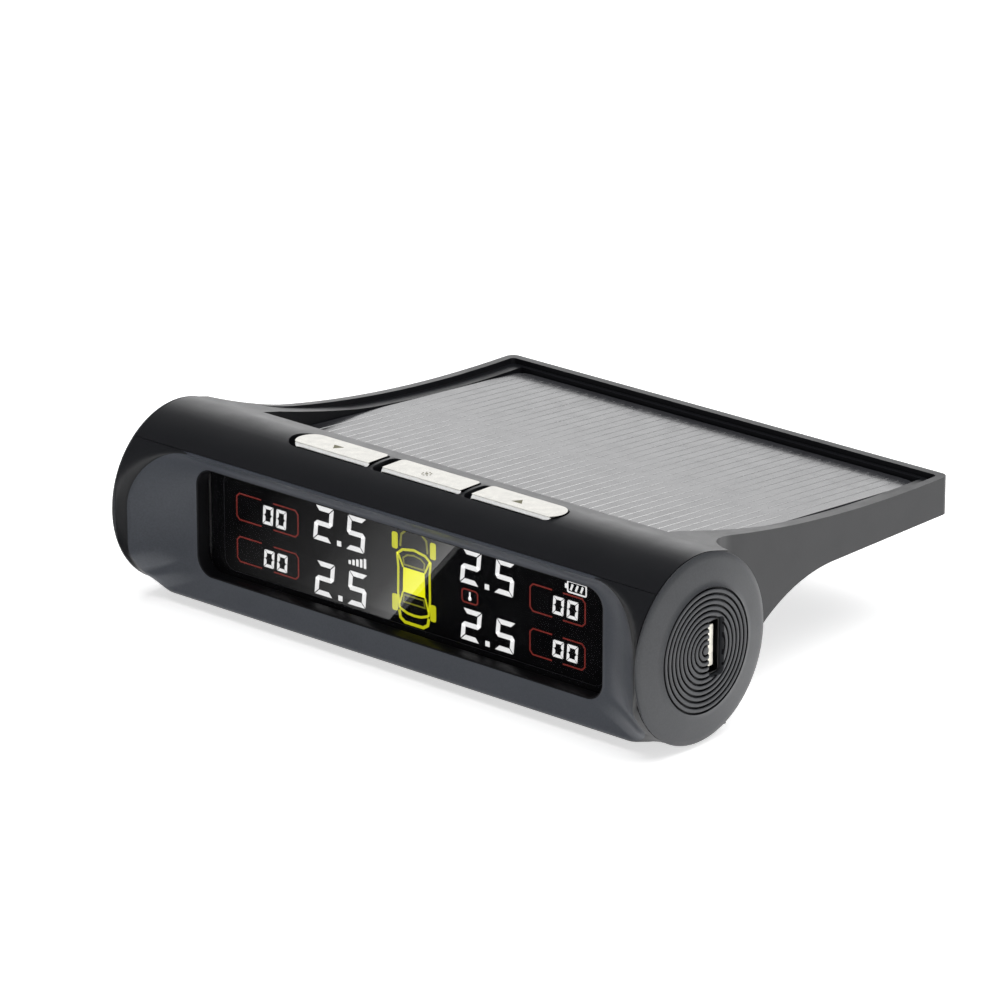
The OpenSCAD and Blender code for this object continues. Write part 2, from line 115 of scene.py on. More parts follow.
def moulded_copy(node, material, name=None, body="root", width=ROUND, segments=3, shape=None):
    """A welded copy of a CAD node with its moulded edges rounded, which replaces the node."""
    bm = bmesh.new()
    bm.from_mesh(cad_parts[node].data)
    bmesh.ops.remove_doubles(bm, verts=bm.verts, dist=WELD)
    bmesh.ops.dissolve_limit(
        bm, angle_limit=math.radians(0.4), verts=bm.verts, edges=bm.edges, delimit={"NORMAL"}
    )
    if shape:
        shape(bm)
    for face in bm.faces:
        face.smooth = True
    piece = obj_from_bmesh(name or node + "_shell", bm, material, body)
    round_edges(piece, width, segments)
    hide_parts(node)
    return piece


def add_prism(bm, outline, depth_from, depth_to):
    """Adds a closed prism: outline is a list of (x, z) points, extruded along Y."""
    front = [bm.verts.new((x, depth_from, z)) for x, z in outline]
    back = [bm.verts.new((x, depth_to, z)) for x, z in outline]
    bm.faces.new(front)
    bm.faces.new(list(reversed(back)))
    for i in range(len(outline)):
        j = (i + 1) % len(outline)
        bm.faces.new((front[j], front[i], back[i], back[j]))


def arc(cx, cz, radius, start, end, steps):
    """Points of an arc, with its angles in degrees."""
    turn = [math.radians(start + (end - start) * i / steps) for i in range(steps + 1)]
    return [(cx + radius * math.cos(a), cz + radius * math.sin(a)) for a in turn]


def rounded_outline(cx, cz, width, height, radius, steps=6):
    """Outline of a rectangle with round corners, anticlockwise from the lower right."""
    x, z = width / 2 - radius, height / 2 - radius
    corners = ((x, -z, -90), (x, z, 0), (-x, z, 90), (-x, -z, 180))
    return [p for dx, dz, a in corners for p in arc(cx + dx, cz + dz, radius, a, a + 90, steps)]


def add_stroke(bm, points, width, depth_from, depth_to, closed=False):
    """Adds a flat line of even width through (x, z) points, with mitred corners."""
    pts = [Vector(p) for p in points]
    count = len(pts)
    left, right = [], []
    for i, p in enumerate(pts):
        before = pts[i - 1] if i or closed else None
        after = pts[(i + 1) % count] if i < count - 1 or closed else None
        legs = ((before, p), (p, after))
        dirs = [(b - a).normalized() for a, b in legs if a is not None and b is not None]
        along = sum(dirs, Vector((0, 0))).normalized()
        side = Vector((-along.y, along.x))
        reach = width / 2 / max(0.3, abs(side.dot(Vector((-dirs[0].y, dirs[0].x)))))
        left.append(p + side * reach)
        right.append(p - side * reach)
    spans = count if closed else count - 1
    for i in range(spans):
        j = (i + 1) % count
        corners = [tuple(corner) for corner in (right[i], right[j], left[j], left[i])]
        add_prism(bm, corners, depth_from, depth_to)


def lathe_x(bm, profile, centre, steps):
    """Adds a body turned about an axis along X: profile is a closed list of (radius, x)."""
    rings = []
    for radius, x in profile:
        if radius < 1e-7:
            rings.append([bm.verts.new((x, centre[1], centre[2]))])
            continue
        ring = []
        for k in range(steps):
            a = 2 * math.pi * k / steps
            y, z = centre[1] + radius * math.cos(a), centre[2] + radius * math.sin(a)
            ring.append(bm.verts.new((x, y, z)))
        rings.append(ring)
    for i in range(len(rings) - 1):
        a, b = rings[i], rings[i + 1]
        for k in range(steps):
            m = (k + 1) % steps
            if len(a) == 1:
                bm.faces.new((a[0], b[k], b[m]))
            elif len(b) == 1:
                bm.faces.new((a[k], b[0], a[m]))
            else:
                bm.faces.new((a[k], b[k], b[m], a[m]))


def cut(piece, cutter):
    """Cuts one mesh out of another and removes the cutter."""
    step = piece.modifiers.new("cut", "BOOLEAN")
    step.operation = "DIFFERENCE"
    step.solver = "EXACT"
    step.object = cutter
    bpy.context.view_layer.update()
    evaluated = piece.evaluated_get(bpy.context.evaluated_depsgraph_get())
    done = bpy.data.meshes.new_from_object(evaluated)
    piece.modifiers.clear()
    piece.data = done
    bpy.data.objects.remove(cutter)


def tuck_in(bm, centre, radius, start, end):
    """Draws what stands outside a barrel along X back to it, over the last stretch at each end."""
    for side in (1, -1):
        for i in range(TUCK_CUTS):
            cut_x = side * (start + (end - start) * i / TUCK_CUTS)
            bmesh.ops.bisect_plane(
                bm, geom=bm.verts[:] + bm.edges[:] + bm.faces[:],
                plane_co=(cut_x, 0, 0), plane_no=(1, 0, 0),
            )
    for vert in bm.verts:
        t = min(max((abs(vert.co.x) - start) / (end - start), 0), 1)
        t = t * t * (3 - 2 * t)
        off = Vector((0, vert.co.y - centre.y, vert.co.z - centre.z))
        if t > 0 and off.y < 0 and off.z < 0 and off.length > radius:
            reach = off.length + (radius - off.length) * t
            off *= reach / off.length
            vert.co.y, vert.co.z = centre.y + off.y, centre.z + off.z


# ---------------------------------------------------------------- materials

class Look:
    """A material's node tree, with short calls for the textures that feed its shader."""

    def __init__(self, name, **sockets):
        self.material = bpy.data.materials.new(name)
        self.material.use_nodes = True
        self.tree = self.material.node_tree
        self.shader = self.tree.nodes["Principled BSDF"]
        self.place = self.node("ShaderNodeTexCoord").outputs["Object"]
        self.set(**sockets)

    def set(self, **sockets):
        for key, value in sockets.items():
            self.shader.inputs[key.replace("_", " ")].default_value = value

    def node(self, kind, **values):
        made = self.tree.nodes.new(kind)
        for key, value in values.items():
            setattr(made, key, value)
        return made

    def link(self, source, target):
        self.tree.links.new(source, target)

    def stretched(self, scale):
        """Texture place scaled along each axis."""
        mapping = self.node("ShaderNodeMapping")
        self.link(self.place, mapping.inputs["Vector"])
        mapping.inputs["Scale"].default_value = scale
        return mapping.outputs["Vector"]

    def noise(self, size, detail=3.0, rough=0.5, place=None):
        """Cloudy noise whose features are about size metres across."""
        made = self.node("ShaderNodeTexNoise")
        made.inputs["Scale"].default_value = 1 / size
        made.inputs["Detail"].default_value = detail
        made.inputs["Roughness"].default_value = rough
        self.link(place or self.place, made.inputs["Vector"])
        return made.outputs["Fac"]

    def cells(self, size, feature="F1", place=None):
        """Distance in a pattern of cells about size metres across."""
        made = self.node("ShaderNodeTexVoronoi", feature=feature)
        made.inputs["Scale"].default_value = 1 / size
        self.link(place or self.place, made.inputs["Vector"])
        return made.outputs["Distance"]

    def bands(self, pitch, axis):
        """Even bands across an axis, with the given pitch in metres."""
        made = self.node("ShaderNodeTexWave", wave_type="BANDS", bands_direction=axis, wave_profile="SIN")
        made.inputs["Scale"].default_value = 2 * math.pi / (20 * pitch)
        made.inputs["Distortion"].default_value = 0
        self.link(self.place, made.inputs["Vector"])
        return made.outputs["Fac"]

    def ramp(self, fac, *stops):
        """Colours along a factor, as (position, colour) stops."""
        made = self.node("ShaderNodeValToRGB")
        self.link(fac, made.inputs["Fac"])
        ramp = made.color_ramp
        for i, (position, colour) in enumerate(stops):
            stop = ramp.elements[i] if i < 2 else ramp.elements.new(position)
            stop.position = position
            stop.color = (*colour, 1)
        return made.outputs["Color"]

    def blend(self, fac, a, b):
        """Mixes two colours by a factor. Each can be a value or a socket."""
        made = self.node("ShaderNodeMix", data_type="RGBA")
        for value, index in ((fac, 0), (a, 6), (b, 7)):
            if isinstance(value, tuple):
                made.inputs[index].default_value = (*value, 1)
            else:
                self.link(value, made.inputs[index])
        return made.outputs[2]

    def spread(self, fac, low, high):
        """A number that follows a texture between two values."""
        made = self.node("ShaderNodeMapRange")
        self.link(fac, made.inputs["Value"])
        made.inputs["From Min"].default_value = 0.3
        made.inputs["From Max"].default_value = 0.7
        made.inputs["To Min"].default_value = low
        made.inputs["To Max"].default_value = high
        return made.outputs["Result"]

    def along_y(self, start, end):
        """A number that goes from 0 to 1 between two places along Y."""
        made = self.node("ShaderNodeMapRange")
        split = self.node("ShaderNodeSeparateXYZ")
        self.link(self.place, split.inputs["Vector"])
        self.link(split.outputs["Y"], made.inputs["Value"])
        made.inputs["From Min"].default_value = start
        made.inputs["From Max"].default_value = end
        return made.outputs["Result"]

    def colour(self, source):
        self.link(source, self.shader.inputs["Base Color"])

    def roughness(self, source):
        self.link(source, self.shader.inputs["Roughness"])

    def bump(self, *heights):
        """Raises the surface by (texture, height in metres) pairs."""
        last = None
        for fac, height in heights:
            made = self.node("ShaderNodeBump")
            made.inputs["Distance"].default_value = height
            made.inputs["Strength"].default_value = 1.0
            self.link(fac, made.inputs["Height"])
            if last:
                self.link(last, made.inputs["Normal"])
            last = made.outputs["Normal"]
        self.link(last, self.shader.inputs["Normal"])


def shade(colour, factor):
    """A colour made darker or lighter, with no channel above 1."""
    return tuple(min(1.0, c * factor) for c in colour)


def plastic(
    name, colour, rough=(0.34, 0.46), grain=0.16 * MM, height=0.004 * MM, variation=0.12, **sockets
):
    """Moulded plastic: fine grain, a slight cloud in the colour and handling marks in the gloss."""
    look = Look(name, **sockets)
    cloud = look.noise(14 * MM, 4)
    speck = look.noise(grain * 1.6, 1)
    base = look.ramp(cloud, (0.3, shade(colour, 1 - variation)), (0.7, shade(colour, 1 + variation)))
    look.colour(look.blend(look.spread(speck, 0, 0.35), base, shade(colour, 1.5)))
    look.roughness(look.spread(look.noise(5 * MM, 5, 0.6), *rough))
    look.bump((look.noise(grain, 2), height), (cloud, height * 2))
    return look.material


def metal(name, colour, rough, grain=0.4 * MM, brushed=None, metallic=1.0):
    """Plated or rolled metal: brushed along one axis or lightly clouded."""
    look = Look(name, Metallic=metallic)
    place = look.stretched(brushed) if brushed else None
    marks = look.noise(grain, 4, 0.6, place)
    look.colour(look.ramp(marks, (0.3, shade(colour, 0.9)), (0.7, colour)))
    look.roughness(look.spread(look.noise(grain * 3, 3), *rough))
    look.bump((marks, 0.001 * MM))
    return look.material


def solar_film(name):
    """Dark laminated cells under a clear film with faint cross bands, darker towards the front edge as
    painted shade.
    """
    look = Look(name, IOR=1.5, Coat_Weight=0.35, Coat_Roughness=0.1, Coat_IOR=1.5)
    cloud = look.noise(9 * MM, 4)
    cells = look.ramp(cloud, (0.35, (0.030, 0.030, 0.034)), (0.65, (0.042, 0.042, 0.046)))
    # Painted shade: the cells darken to near black towards the front edge of the panel.
    fade = look.along_y(panel_low.y, panel_low.y + 0.4 * (panel_high.y - panel_low.y))
    base = look.blend(fade, (0.004, 0.004, 0.005), cells)
    streak = look.noise(0.5 * MM, 2, 0.5, look.stretched((1, 0.02, 1)))
    look.colour(look.blend(look.spread(streak, 0, 0.5), base, (0.05, 0.052, 0.06)))
    look.roughness(look.spread(look.noise(3 * MM, 4), 0.16, 0.26))
    look.bump((streak, 0.001 * MM))
    return look.material


def printed_silver(name):
    """Screen-printed silver lines seen through the film, paler to the front."""
    look = Look(name, IOR=1.5)
    fade = look.along_y(panel_low.y, panel_high.y - 15 * MM)
    print_run = look.spread(look.noise(0.3 * MM, 4), 0.58, 0.80)
    silver = look.blend(print_run, (0.5, 0.5, 0.5), (0.86, 0.86, 0.85))
    look.colour(look.blend(fade, silver, (0.11, 0.11, 0.115)))
    look.roughness(look.spread(look.noise(1 * MM, 3), 0.2, 0.28))
    return look.material


def chrome(name):
    """Chromed plastic with a slight haze."""
    look = Look(name, Metallic=1.0)
    haze = look.noise(1.2 * MM, 4)
    look.colour(look.ramp(haze, (0.3, (0.50, 0.49, 0.46)), (0.7, (0.58, 0.57, 0.53))))
    look.roughness(look.spread(haze, 0.10, 0.17))
    look.bump((look.noise(0.5 * MM, 2), 0.0006 * MM))
    return look.material


def smoked_glass(name):
    """Smoked window that lets the lit display through."""
    look = Look(name, Alpha=0.4, IOR=1.5, Specular_IOR_Level=1.0)
    haze = look.noise(6 * MM, 4)
    look.colour(look.ramp(haze, (0.3, (0.004, 0.004, 0.005)), (0.7, (0.008, 0.008, 0.009))))
    look.roughness(look.spread(haze, 0.008, 0.016))
    return look.material


def lit(name, colour, strength, dark=0.78):
    """A lit liquid crystal segment: a little uneven, as light leaks through the cell."""
    look = Look(name, Roughness=0.4)
    cloud = look.noise(1.5 * MM, 2)
    glow = look.ramp(cloud, (0.3, shade(colour, dark)), (0.7, colour))
    look.colour(glow)
    look.link(glow, look.shader.inputs["Emission Color"])
    look.set(Emission_Strength=strength)
    look.bump((look.noise(0.2 * MM, 1), 0.001 * MM))
    return look.material


def circuit_board(name):
    """Green solder mask with raised tracks."""
    look = Look(name, Coat_Weight=0.4, Coat_Roughness=0.2)
    route = look.cells(1.6 * MM, "DISTANCE_TO_EDGE", look.stretched((1, 1, 0.6)))
    tracks = look.ramp(route, (0.06, (0.03, 0.17, 0.07)), (0.11, (0.012, 0.085, 0.035)))
    look.colour(look.blend(look.spread(look.noise(4 * MM), 0, 0.4), tracks, (0.02, 0.11, 0.05)))
    look.roughness(look.spread(look.noise(1 * MM), 0.3, 0.45))
    look.bump((tracks, 0.02 * MM))
    return look.material


def striped(name, dark, light, pitch, axis):
    """Layered strip of two colours."""
    look = Look(name, Roughness=0.6)
    lines = look.bands(pitch, axis)
    look.colour(look.ramp(lines, (0.45, dark), (0.55, light)))
    look.bump((lines, 0.01 * MM), (look.noise(0.2 * MM), 0.004 * MM))
    return look.material


def foam(name, colour):
    """Open-cell foam with deep pores."""
    look = Look(name, Roughness=0.95, Sheen_Weight=0.2)
    pores = look.cells(0.5 * MM)
    look.colour(look.ramp(pores, (0.1, shade(colour, 0.4)), (0.6, colour)))
    look.bump((pores, 0.12 * MM))
    return look.material


def rubber(name, colour):
    """Matt rubber with a fine grain."""
    look = Look(name, Sheen_Weight=0.12, Specular_IOR_Level=0.3)
    grain = look.noise(0.12 * MM, 2)
    look.colour(look.ramp(look.noise(6 * MM, 4), (0.3, shade(colour, 0.8)), (0.7, shade(colour, 1.25))))
    look.roughness(look.spread(grain, 0.72, 0.9))
    look.bump((grain, 0.01 * MM))
    return look.material


def foil_pouch(name):
    """Creased foil of a pouch cell."""
    look = Look(name, Metallic=0.85)
    creases = look.cells(5 * MM, "DISTANCE_TO_EDGE")
    look.colour(look.ramp(look.noise(3 * MM), (0.3, (0.42, 0.44, 0.47)), (0.7, (0.58, 0.60, 0.63))))
    look.roughness(look.spread(look.noise(1 * MM), 0.3, 0.5))
    look.bump((creases, 0.06 * MM), (look.noise(1.2 * MM, 4), 0.03 * MM))
    return look.material


HOUSING = plastic(
    "housing_plastic", (0.0095, 0.0100, 0.0118), (0.33, 0.41), height=0.007 * MM, variation=0.08
)
BEZEL = plastic("bezel_plastic", (0.045, 0.050, 0.061), (0.34, 0.44), height=0.007 * MM, variation=0.08)
COVER = plastic("cover_plastic", (0.024, 0.025, 0.028), (0.42, 0.55), height=0.008 * MM)
CAP = plastic("cap_plastic", (0.038, 0.040, 0.044), (0.33, 0.43), variation=0.08)
ICON = plastic("icon_ink", (0.12, 0.115, 0.06), (0.4, 0.6), grain=0.1 * MM)
LENS_EDGE = plastic("lens_edge_ink", (0.10, 0.10, 0.11), (0.3, 0.4), grain=0.3 * MM)
# The window tunnel walls are bezel plastic, made near black with little gloss as painted shade in the deep
# tunnel.
WINDOW_SHADE = plastic("window_painted_shade", (0.006, 0.006, 0.007), (0.35, 0.45), Specular_IOR_Level=0.2)
MASK_BLACK = plastic("mask_black", (0.006, 0.006, 0.007), (0.2, 0.3), grain=0.5 * MM, height=0.001 * MM)
CHIP = plastic("chip_epoxy", (0.018, 0.018, 0.020), (0.5, 0.65), grain=0.1 * MM)
BUZZER = plastic("buzzer_plastic", (0.016, 0.016, 0.018), (0.35, 0.5))
WHITE_FRAME = plastic("frame_polycarbonate", (0.72, 0.72, 0.69), (0.45, 0.6), variation=0.04)
LIGHT_GUIDE = plastic("light_guide_acrylic", (0.82, 0.83, 0.84), (0.12, 0.25), variation=0.03)
PLUNGER = plastic("plunger_nylon", (0.78, 0.71, 0.52), (0.4, 0.55), variation=0.05)
PLUG = plastic("plug_nylon", (0.84, 0.82, 0.76), (0.4, 0.55), variation=0.05)
TAPE = plastic("tape_paper", (0.62, 0.58, 0.47), (0.75, 0.9), grain=0.3 * MM, height=0.02 * MM)
WIRE_RED = plastic("wire_red_pvc", (0.50, 0.03, 0.03), (0.3, 0.45), grain=0.3 * MM)
LCD_GLASS = plastic(
    "lcd_glass_black", (0.003, 0.003, 0.0035), (0.30, 0.36), grain=0.6 * MM, height=0.0,
    Specular_IOR_Level=0.15,
)
GROOVE = plastic("groove_shadow", (0.006, 0.006, 0.007), (0.5, 0.6), Specular_IOR_Level=0.2)
DARK_STEEL = metal("socket_steel", (0.045, 0.045, 0.045), (0.35, 0.5), grain=0.3 * MM)
TONGUE = metal("tongue_plate", (0.86, 0.83, 0.74), (0.25, 0.4), grain=0.3 * MM)
RUBBER = rubber("pad_rubber_black", (0.016, 0.016, 0.017))
ZEBRA = striped("zebra_strip_rubber", (0.03, 0.03, 0.03), (0.62, 0.24, 0.30), 0.18 * MM, "X")
FOAM = foam("foam_grey_open_cell", (0.10, 0.10, 0.105))
POUCH = foil_pouch("pouch_foil")
BOARD = circuit_board("board_solder_mask")
CHROME = chrome("key_chrome_plate")
# Near-white colour for the front chamfers of the chrome keys: a painted highlight.
KEY_EDGE_HIGHLIGHT = metal("key_edge_painted_highlight", (0.88, 0.88, 0.87), (0.35, 0.5), grain=0.3 * MM, metallic=0.15)
SHIELD = metal("shield_tinned", (0.70, 0.71, 0.72), (0.25, 0.4), grain=0.5 * MM, brushed=(0.1, 1, 1))
COPPER = metal("copper_wire_bare", (0.85, 0.42, 0.20), (0.2, 0.35))
BRASS = metal("sensor_brass", (0.72, 0.55, 0.28), (0.2, 0.35))
STEEL = metal("screw_zinc_steel", (0.62, 0.63, 0.64), (0.22, 0.38), grain=0.25 * MM)
SOLAR = solar_film("solar_laminate")
FINGER = printed_silver("solar_finger_silver")
LENS = smoked_glass("lens_smoked")
WHITE_LIT = lit("segment_white", (1.0, 1.0, 1.0), 2.0, 0.92)
RED_LIT = lit("segment_red", (0.62, 0.075, 0.055), 0.5)
YELLOW_LIT = lit("segment_yellow", (0.95, 0.95, 0.012), 1.25, 0.9)
YELLOW_FULL = lit("segment_yellow_full", (1.0, 1.0, 0.0), 1.95, 0.94)
OLIVE_LIT = lit("segment_olive", (0.45, 0.45, 0.03), 0.8)

# ---------------------------------------------------------------- casing

moulded_copy("upper_housing", HOUSING, width=0.36 * MM, segments=4)
cap_low, cap_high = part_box("end_cap_right")
BARREL_R = (cap_high.z - cap_low.z) / 2
cap_centre = Vector((0, (cap_low.y + cap_high.y) / 2, (cap_low.z + cap_high.z) / 2))
bezel_low, bezel_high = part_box("front_bezel")
TUCK_START = bezel_high.x - 5.5 * MM
moulded_copy(
    "lower_cover", COVER,
    shape=lambda bm: tuck_in(bm, cap_centre, BARREL_R, TUCK_START, bezel_high.x),
)
moulded_copy("usb_shell", DARK_STEEL, width=0.08 * MM)
moulded_copy("anti_slip_pad", RUBBER, width=0.2 * MM)

# Rings of the end caps: pitch, depth, and the profile of one groove as steps inwards in
# millimetres with the share of the full height that is left.
RING_PITCH = 0.75 * MM
GROOVE_DEPTH = 0.4 * MM
GROOVE_STEPS = ((0, 0.92), (0.04, 0.8), (0.07, 0), (0.27, 0), (0.30, 0.8), (0.35, 0.92), (0.43, 1.0))
DOME_STEPS = 6


def end_cap(side, node, name):
    """Domed disc with ring grooves; side is 1 at the socket end and -1 at the other."""
    low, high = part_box(node)
    rim_r = (high.z - low.z) / 2
    centre = Vector((0, (low.y + high.y) / 2, (low.z + high.z) / 2))
    face_x = side * max(abs(low.x), abs(high.x))
    ring_r = 0.66 * rim_r
    rim_x = face_x - side * 1.0 * MM
    back_x = face_x - side * 1.34 * MM
    profile = [(0, back_x), (rim_r - 1.2 * MM, back_x), (rim_r - 0.22 * MM, back_x)]
    profile += [(rim_r - 0.05 * MM, back_x + side * 0.07 * MM), (rim_r, back_x + side * 0.2 * MM)]
    profile += [(rim_r - 0.04 * MM, rim_x - side * 0.08 * MM), (rim_r - 0.2 * MM, rim_x + side * 0.04 * MM)]
    for i in range(1, DOME_STEPS + 1):
        t = i / DOME_STEPS
        radius = rim_r - 0.3 * MM + (ring_r + 0.3 * MM - rim_r + 0.3 * MM) * t
        profile.append((radius, rim_x + side * (0.06 + 0.72 * t ** 0.85) * MM))
    radius = ring_r
    while radius > RING_PITCH * 0.8:
        for step, share in GROOVE_STEPS:
            profile.append((radius - step * MM, face_x - side * GROOVE_DEPTH * (1 - share)))
        profile.append((radius - 0.66 * MM, face_x))
        radius -= RING_PITCH
    profile.append((0, face_x))
    bm = bmesh.new()
    lathe_x(bm, profile, centre, 128)
    bmesh.ops.recalc_face_normals(bm, faces=bm.faces)
    shade_by_angle(bm, 40)
    # Faces on the groove floors take the second material, groove_shadow: near black as painted shade in the
    # grooves.
    for face in bm.faces:
        deep = (face_x - face.calc_center_median().x) * side
        off = face.calc_center_median() - centre
        if math.hypot(off.y, off.z) < ring_r and 0.3 * GROOVE_DEPTH < deep < 0.5 * MM:
            face.material_index = 1
    piece = obj_from_bmesh(name, bm, CAP, "root")
    piece.data.materials.append(GROOVE)
    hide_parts(node)
    return piece, face_x


cap_right, cap_face = end_cap(1, "end_cap_right", "end_cap_right_disc")
end_cap(-1, "end_cap_left", "end_cap_left_disc")

usb_low, usb_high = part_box("usb_shell")
slot_centre = ((usb_low.y + usb_high.y) / 2, (usb_low.z + usb_high.z) / 2)
slot_clear = 0.22 * MM
slot_shape = rounded_outline(
    *slot_centre,
    usb_high.y - usb_low.y + 2 * slot_clear, usb_high.z - usb_low.z + 2 * slot_clear, 0.8 * MM,
)
bm = bmesh.new()
add_prism(bm, slot_shape, cap_face - 4 * MM, cap_face + 2 * MM)
bmesh.ops.transform(bm, matrix=SWAP_XY, verts=bm.verts)
bmesh.ops.recalc_face_normals(bm, faces=bm.faces)
cut(cap_right, plain_object("slot_cutter", bm))

# The tongue inside the socket: a plated bar with fine contact ridges on its rear face.
bm = bmesh.new()
tongue_low, tongue_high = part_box("usb_tongue")
bar_front = usb_low.y + 0.72 * MM
bar_shape = rounded_outline(bar_front + 0.5 * MM, slot_centre[1], 1.0 * MM, 5.6 * MM, 0.2 * MM, 4)
add_prism(bm, bar_shape, tongue_low.x, tongue_high.x)
for i in range(5):
    z = slot_centre[1] + (i - 2) * 0.65 * MM
    ridge = rounded_outline(bar_front + 1.02 * MM, z, 0.12 * MM, 0.35 * MM, 0.04 * MM, 2)
    add_prism(bm, ridge, tongue_low.x + 0.4 * MM, tongue_high.x - 0.4 * MM)
bmesh.ops.transform(bm, matrix=SWAP_XY, verts=bm.verts)
bmesh.ops.recalc_face_normals(bm, faces=bm.faces)
tongue = obj_from_bmesh("usb_tongue_bar", bm, TONGUE, "root")
round_edges(tongue, 0.06 * MM, 2)
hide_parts("usb_tongue")

# ---------------------------------------------------------------- bezel

lens_low, lens_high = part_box("display_lens")
FRONT_Y = cap_centre.y - BARREL_R
FACE_DEPTH = 4.0 * MM  # flat face behind the front of the barrel
CHIN_RISE = 1.6 * MM
FLARE_START = 36 * MM  # distance from the middle at which the face starts to curve forward
FLARE_R = 14.7 * MM
REBATE = 0.7 * MM
DISH_STEPS = 16
FACE_STEPS = 12

# Outline shapes are (centre, half width, half height, upper radius, lower radius).
WINDOW = (
    (0, (lens_low.z + lens_high.z) / 2),
    lens_high.x - REBATE, (lens_high.z - lens_low.z) / 2 - REBATE, 2.5 * MM, 2.5 * MM,
)
WINDOW_DEPTH = 5.8 * MM
LIP_TOP = bezel_high.z - 0.4 * MM
LIP_BOTTOM = bezel_low.z + 0.35 * MM
LIP = ((0, (LIP_TOP + LIP_BOTTOM) / 2), 44.3 * MM, (LIP_TOP - LIP_BOTTOM) / 2, 8.6 * MM, 3.0 * MM)


def grown(shape, by):
    """An outline shape made larger on every side."""
    return (shape[0], *[size + by for size in shape[1:]])


def soft_max(a, b, reach=0.5 * MM):
    """The larger of two depths, with a rounded change from one to the other."""
    near = max(reach - abs(a - b), 0) / reach
    return max(a, b) + near * near * reach / 4


def front_depth(x, z):
    """How far the bezel's outer face lies behind the front of the barrel."""
    beyond = max(abs(x) - FLARE_START, 0)
    face = FACE_DEPTH - FLARE_R + math.sqrt(FLARE_R ** 2 - beyond ** 2)
    rise = min(abs(z - cap_centre.z), BARREL_R)
    barrel = BARREL_R - math.sqrt(BARREL_R ** 2 - rise ** 2)
    chin = bezel_low.z + CHIN_RISE
    if z < cap_centre.z:
        barrel = min(barrel, FACE_DEPTH + max(chin - z, 0))
    return soft_max(face, barrel)


def outline(shape, grow=0.0):
    """Points of a round-cornered outline: the same count and order for every shape."""
    (cx, cz), half_w, half_h, upper, lower = grown(shape, grow)
    corners = []
    for sx, sz, start in ((1, -1, -90), (1, 1, 0), (-1, 1, 90), (-1, -1, 180)):
        radius = upper if sz > 0 else lower
        centre = (cx + sx * (half_w - radius), cz + sz * (half_h - radius))
        corners.append(arc(*centre, radius, start, start + 90, 14))
    points = []
    for i, corner in enumerate(corners):
        (x0, z0), (x1, z1) = corner[-1], corners[(i + 1) % 4][0]
        steps = 12 if i % 2 == 0 else 64
        points += corner
        for k in range(1, steps):
            points.append((x0 + (x1 - x0) * k / steps, z0 + (z1 - z0) * k / steps))
    return points


def between(a, b, t):
    """A shape part of the way from one outline shape to another."""
    (ax, az), *first = a
    (bx, bz), *second = b
    sizes = [p + (q - p) * t for p, q in zip(first, second)]
    return ((ax + (bx - ax) * t, az + (bz - az) * t), *sizes)


def tube_y(bm, x, z, y0, y1, outer, inner, steps=32):
    """Adds a tube along Y."""
    loops = []
    for radius, y in ((outer, y0), (outer, y1), (inner, y1), (inner, y0)):
        ring = arc(x, z, radius, 0, 360, steps)[:-1]
        loops.append([bm.verts.new((px, y, pz)) for px, pz in ring])
    for i in range(4):
        a, b = loops[i], loops[(i + 1) % 4]
        for k in range(steps):
            m = (k + 1) % steps
            bm.faces.new((a[k], a[m], b[m], b[k]))


def bezel_rings():
    """Rings of the bezel outwards: lens rebate, window, dish, lip, face, and round to the back.

    Each ring is a list of ((x, z), depth) and the material of the faces that start at it:
    0 the bezel's own, 1 the window tunnel's, near black as painted shade, 2 the housing's.
    """
    middle_z = (bezel_low.z + bezel_high.z) / 2
    outer = ((0, middle_z), bezel_high.x, (bezel_high.z - bezel_low.z) / 2, 0.05 * MM, 0.05 * MM)
    lens_depth = lens_low.y - FRONT_Y
    back_depth = lens_high.y - FRONT_Y
    # The rebate and the tunnel walls take the near-black window material: painted shade.
    window_rings = (
        (REBATE + 0.1 * MM, back_depth, 1), (REBATE + 0.1 * MM, lens_depth, 1), (0, lens_depth, 1),
        (0, WINDOW_DEPTH + 0.3 * MM, 1), (0.06 * MM, WINDOW_DEPTH + 0.1 * MM, 1),
        (0.22 * MM, WINDOW_DEPTH, 0),
    )
    rings = [([(p, depth) for p in outline(WINDOW, grow)], look) for grow, depth, look in window_rings]
    start = grown(WINDOW, 0.22 * MM)
    lip_depth = [front_depth(*p) + 0.12 * MM for p in outline(LIP)]
    for i in range(1, DISH_STEPS + 1):
        t = i / DISH_STEPS
        points = outline(between(start, LIP, t))
        drop = t ** 1.7
        depths = [WINDOW_DEPTH + (depth - WINDOW_DEPTH) * drop for depth in lip_depth]
        rings.append((list(zip(points, depths)), 0))
    edge = grown(LIP, 0.28 * MM)
    rings.append(([(p, front_depth(*p) + 0.03 * MM) for p in outline(between(LIP, edge, 0.4))], 2))
    rings.append(([(p, front_depth(*p)) for p in outline(edge)], 2))
    for i in range(1, FACE_STEPS + 1):
        shape = between(edge, outer, i / FACE_STEPS)
        rings.append(([(p, front_depth(*p)) for p in outline(shape)], 2))
    rings.append(([(p, back_depth) for p in outline(outer)], 2))
    return rings


